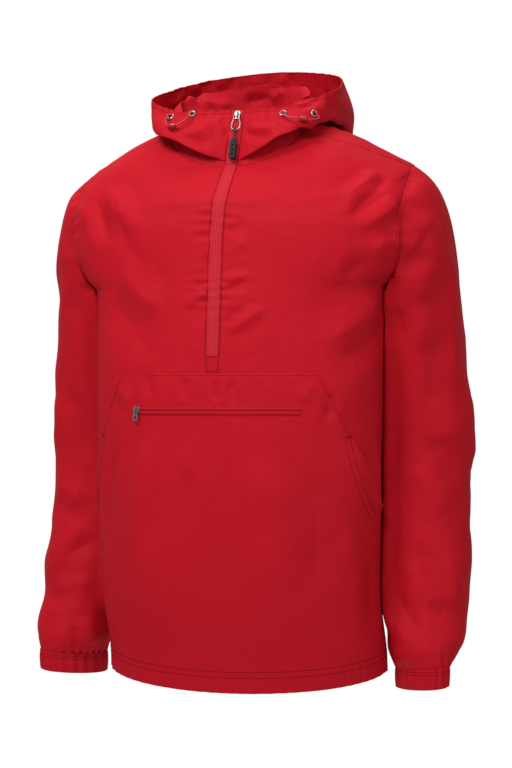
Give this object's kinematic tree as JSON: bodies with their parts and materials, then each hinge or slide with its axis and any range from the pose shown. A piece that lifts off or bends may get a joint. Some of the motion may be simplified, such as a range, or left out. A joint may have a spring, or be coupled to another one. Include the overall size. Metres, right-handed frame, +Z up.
{
  "type": "anorak pullover",
  "caption": "Hollow red nylon anorak pullover with a standing hood, a closed half zip, a large zipped front pocket and elastic cuffs, filled out as if worn.",
  "frame": {"origin": "middle of the neck's base, between the neck ends of the shoulder seams, where the wearer's neck and shoulders hold the garment", "axes": "+Z up, -Y the way the wearer faces, +X the wearer's left"},
  "size_m": [0.6037, 0.3137, 0.8375],
  "materials": {
    "cloth": "fine plain-weave nylon with a soft sheen",
    "zip_tape": "matt woven tape",
    "red_cord": "braided elastic cord",
    "black_cord": "braided cord",
    "steel": "bright nickel-plated metal",
    "rubber": "matt moulded rubber",
    "cord_lock": "satin moulded plastic"
  },
  "bodies": {
    "body": {"front": "cloth", "back": "cloth", "sleeve_left": "cloth", "sleeve_right": "cloth", "hood_left": "cloth", "hood_right": "cloth", "cuff_left": "cloth", "cuff_right": "cloth", "pocket": "cloth", "pocket_lip_upper": "cloth", "pocket_lip_lower": "cloth", "zip_end_patch": "cloth", "zip_tape_left": "zip_tape", "zip_tape_right": "zip_tape", "slider": "steel", "pocket_slider": "steel", "eyelet_left_front": "steel", "eyelet_left_side": "steel", "eyelet_right_front": "steel", "eyelet_right_side": "steel", "drawcord_left": "red_cord", "drawcord_right": "red_cord", "cord_lock_left": "cord_lock", "cord_lock_right": "cord_lock"},
    "pull": {"pull_ring": "steel", "pull_loop": "black_cord", "pull_grip": "rubber"},
    "tab": {"pocket_tab": "steel"}
  },
  "joints": [
    {"name": "pull_hinge", "type": "hinge", "parent": "body", "child": "pull", "pos_m": [0.0088, -0.05263, 0.02182], "axis": [-1, 0, 0], "range_deg": [0, 150]},
    {"name": "tab_hinge", "type": "hinge", "parent": "body", "child": "tab", "pos_m": [-0.10684, -0.12184, -0.36572], "axis": [-0.939, 0.3439, 0], "range_deg": [0, 150]}
  ]
}
